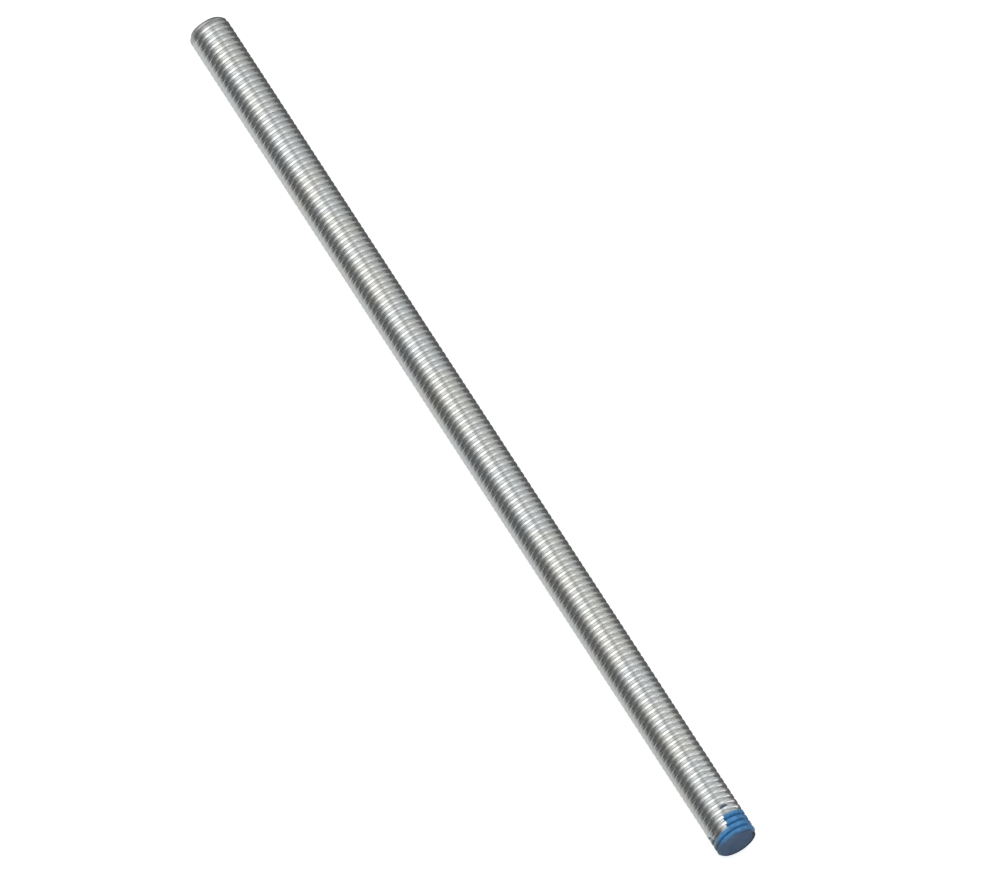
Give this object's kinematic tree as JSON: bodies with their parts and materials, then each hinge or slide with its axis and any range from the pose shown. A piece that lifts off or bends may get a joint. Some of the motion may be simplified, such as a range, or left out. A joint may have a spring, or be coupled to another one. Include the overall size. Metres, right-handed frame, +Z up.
{
  "type": "threaded rod",
  "caption": "Straight zinc-plated steel rod, threaded along its whole length, with chamfered ends and a blue paint mark on an end; takes nuts to hang, clamp or join things.",
  "frame": {"origin": "middle of the rod, on its axis", "axes": "+X along the rod towards the painted end, +Z up, as the rod lies in the picture"},
  "size_m": [0.3048, 0.0126, 0.0126],
  "materials": {
    "zinc_plate": "bright zinc plate on rolled steel, with blue identification paint on the +X end"
  },
  "bodies": {
    "root": {"threaded_rod": "zinc_plate"}
  },
  "joints": []
}
